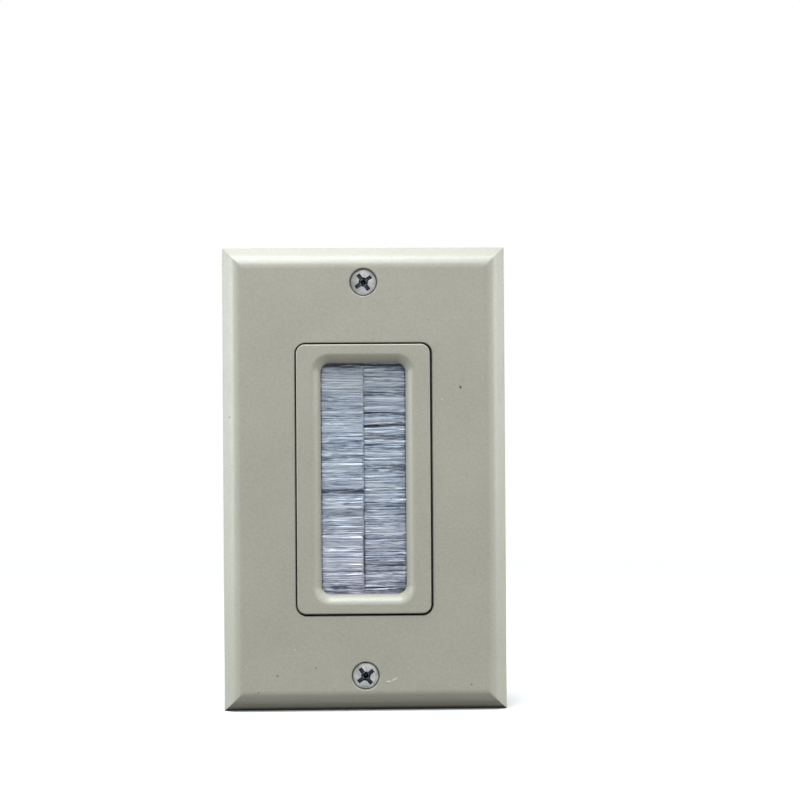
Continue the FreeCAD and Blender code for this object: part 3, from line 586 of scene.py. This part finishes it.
def filament_row(side):
    """Thin round filaments from the channel's jaw to the seam."""
    node = "left_bristles" if side < 0 else "right_bristles"
    low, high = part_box(node)
    made = Filaments(low, high)
    dice = random.Random(SEEDS[side])
    root = max(abs(low.x), abs(high.x)) - JAW_DEPTH * MM
    middle = (low.y + high.y) / 2
    bottom, top = low.z + END_MARGIN * MM, high.z - END_MARGIN * MM
    tufts = [chance(dice, *TUFT_CHANCE) for _ in range(TUFTS)]
    strands = [[chance(dice, *STRAND_CHANCE) for _ in range(STRANDS + 2)] for _ in range(LAYERS)]
    for layer in range(LAYERS):
        depth = (layer + 0.5) / LAYERS
        shaded = layer in SHADED_LAYERS
        offset = dice.random()
        for place in range(FILAMENTS):
            share = (place + dice.random()) / FILAMENTS
            z = bottom + (top - bottom) * share
            tuft_lean, tuft_forward, tuft_tone = tufts[min(int(share * TUFTS), TUFTS - 1)]
            lean, forward, strand_tone = strands[layer][int(share * STRANDS + offset)]

            push = 0.0 if shaded else parted(z / MM, side)
            shift = tuft_lean + lean + dice.gauss(0, OWN_LEAN) + push
            if dice.random() < STRAY_SHARE:
                shift += dice.gauss(0, STRAY_LEAN)
            z_tip = z + shift * MM

            y_root = middle + (depth - 0.5) * ROOT_THICKNESS * MM
            y_tip = middle + (depth - 0.5) * TIP_SHARE * (high.y - low.y)
            y_tip += (tuft_forward + forward + dice.gauss(0, OWN_FORWARD)) * MM
            if side > 0 and depth < FRONT:
                y_tip += RIGHT_SETBACK * MM

            overlap = BACK_OVERLAP if depth > BACK or shaded else FRONT_OVERLAP
            x_tip = (dice.random() ** 2 * RAGGED - RAGGED) * MM - overlap * MM * dice.random()
            if depth < FRONT:
                x_tip += seam_gap(z / MM) * MM

            bend = dice.gauss(0, OWN_BEND) * MM
            radius = THICKNESS / 2 * dice.uniform(THINNEST, 1.0) * MM
            own_tone = dice.uniform(-OWN_TONE, OWN_TONE)
            # the tone adds the painted bands of light and shade to the random tones
            tone = PLAIN_TONE + tuft_tone + strand_tone + own_tone + painted_band_light(z / MM, side)
            # painted shade on the middle layers
            if shaded:
                tone = SHADED_TONE
            # a painted glint on a few filaments
            elif dice.random() < PAINTED_GLINT_SHARE:
                tone = PAINTED_GLINT_TONE
            # painted shade at the jaw, then the painted light steps towards the tip
            tones = (PAINTED_JAW_SHADE, PAINTED_JAW_SHADE, *(tone + step for step in PAINTED_LIGHT_STEPS[side]))

            start = len(made.vertices)
            for along, station_tone in zip(STATIONS, tones):
                x = root + (x_tip - root) * along
                y = y_root + (y_tip - y_root) * along
                height = z + (z_tip - z) * along**1.5 + bend * math.sin(math.pi * along)
                made.ring(side * x, y, height, radius, place, station_tone)
            made.skin(start)

    mesh = made.mesh(node.replace("bristles", "filaments"))
    piece = bpy.data.objects.new(mesh.name, mesh)
    scene.collection.objects.link(piece)
    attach(piece, "root")
    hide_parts(node)


for side in (-1, 1):
    filament_row(side)


# Floor and surroundings, in metres

AMBIENT = 0.54
WHITE = (1, 1, 1, 1)
FLOOR_SIZE, FADE_FROM, FADE_TO = 8, 0.12, 0.5
FLOOR_COLOUR, FLOOR_BOUNCE = linear(232, 232, 230), linear(70, 70, 68)


def seen_plainly(tree):
    """1 for rays from the camera, from shiny surfaces and through clear ones, 0 for other light."""
    rays = tree.nodes.new("ShaderNodeLightPath")
    total = rays.outputs["Is Camera Ray"]
    for kind in ("Is Glossy Ray", "Is Transmission Ray"):
        either = tree.nodes.new("ShaderNodeMath")
        either.operation = "MAXIMUM"
        tree.links.new(total, either.inputs[0])
        tree.links.new(rays.outputs[kind], either.inputs[1])
        total = either.outputs[0]
    return total


def mixed(tree, share, first, second, output):
    """first where share is 0 and second where it is 1, as the tree's output."""
    choice = tree.nodes.new("ShaderNodeMixShader")
    tree.links.new(share, choice.inputs[0])
    tree.links.new(first, choice.inputs[1])
    tree.links.new(second, choice.inputs[2])
    tree.links.new(choice.outputs[0], output.inputs["Surface"])


def surroundings():
    """A white world that lights the plate with its ambient share only."""
    world = bpy.data.worlds.new("Surroundings")
    scene.world = world
    world.use_nodes = True
    tree = world.node_tree
    ambient, white = tree.nodes["Background"], tree.nodes.new("ShaderNodeBackground")
    for background, strength in ((ambient, AMBIENT), (white, 1.0)):
        background.inputs["Color"].default_value = WHITE
        background.inputs["Strength"].default_value = strength
    output = tree.nodes["World Output"]
    mixed(tree, seen_plainly(tree), ambient.outputs[0], white.outputs[0], output)


def pale_floor():
    """A floor at the plate's lower edge, which fades to the white of the surroundings."""
    made = Shader("floor_finish")
    away = made.vector("LENGTH", made.place).outputs["Value"]
    far = made.span(away, FADE_FROM, FADE_TO, 0.0, 1.0)
    rays = made.node("ShaderNodeLightPath")
    paint = made.mix(rays.outputs["Is Diffuse Ray"], FLOOR_COLOUR, FLOOR_BOUNCE)
    made.set(Base_Color=paint, Roughness=0.9)
    glow = made.node("ShaderNodeEmission")
    glow.inputs["Strength"].default_value = 1.0
    share = made.math("MULTIPLY", far, seen_plainly(made.tree))
    mixed(made.tree, share, made.surface.outputs[0], glow.outputs[0], made.output)
    bpy.ops.mesh.primitive_plane_add(size=FLOOR_SIZE, location=(0, 0, cad_low.z))
    floor = bpy.context.object
    floor.name = "floor"
    floor.data.materials.append(made.material)


surroundings()
pale_floor()


# Lamps, in metres and watts

LAMP_DISTANCE = 0.8


def lamp(name, direction, size, watts, colour=(1, 1, 1)):
    """A square soft lamp aimed at the plate's middle."""
    data = bpy.data.lights.new(name, "AREA")
    data.shape = "SQUARE"
    data.size = size
    data.energy = watts
    data.color = colour
    made = bpy.data.objects.new(name, data)
    away = Vector(direction).normalized() * LAMP_DISTANCE
    made.location = away
    made.rotation_euler = away.to_track_quat("Z", "Y").to_euler()
    scene.collection.objects.link(made)


lamp("Key", (-0.1, -0.22, 1.0), 0.35, 7.1, (0.86, 0.95, 1.0))
lamp("Upper_front", (-0.1, -0.45, 1.0), 0.35, 0.8)
lamp("Left_side", (-1.0, -0.08, 0.05), 0.4, 5.8, (0.88, 0.97, 1.0))
lamp("Right_side", (1.0, -0.08, 0.05), 0.4, 4.6, (0.92, 0.98, 1.0))
lamp("Right_front", (1.0, -1.0, 0.3), 0.5, 0.5)
lamp("Front", (0.0, -1.0, 0.35), 0.5, 0.9)


# Camera, in mm and degrees. The plate hangs a little turned in the photograph, so the camera is
# placed before a turned plate and then turned back with it.

SENSOR, FOCAL_LENGTH = 36, 81.32
ACROSS, AWAY, UP = 9.06, 450, 19.46
TURN_Y, TURN_X, TURN_Z = -0.379, -0.54, 1.23


def turn(degrees, axis):
    return Matrix.Rotation(math.radians(degrees), 4, axis)


lens = bpy.data.cameras.new("Camera")
lens.sensor_width = SENSOR
lens.lens = FOCAL_LENGTH
lens.clip_start = 0.01
camera = bpy.data.objects.new("Camera", lens)
scene.collection.objects.link(camera)
plate_turn = turn(TURN_Y, "Y") @ turn(TURN_X, "X") @ turn(TURN_Z, "Z")
level = Matrix.Translation((ACROSS * MM, -AWAY * MM, UP * MM)) @ turn(90, "X")
camera.matrix_world = plate_turn.inverted() @ level
scene.camera = camera

scene.view_settings.view_transform = "Standard"
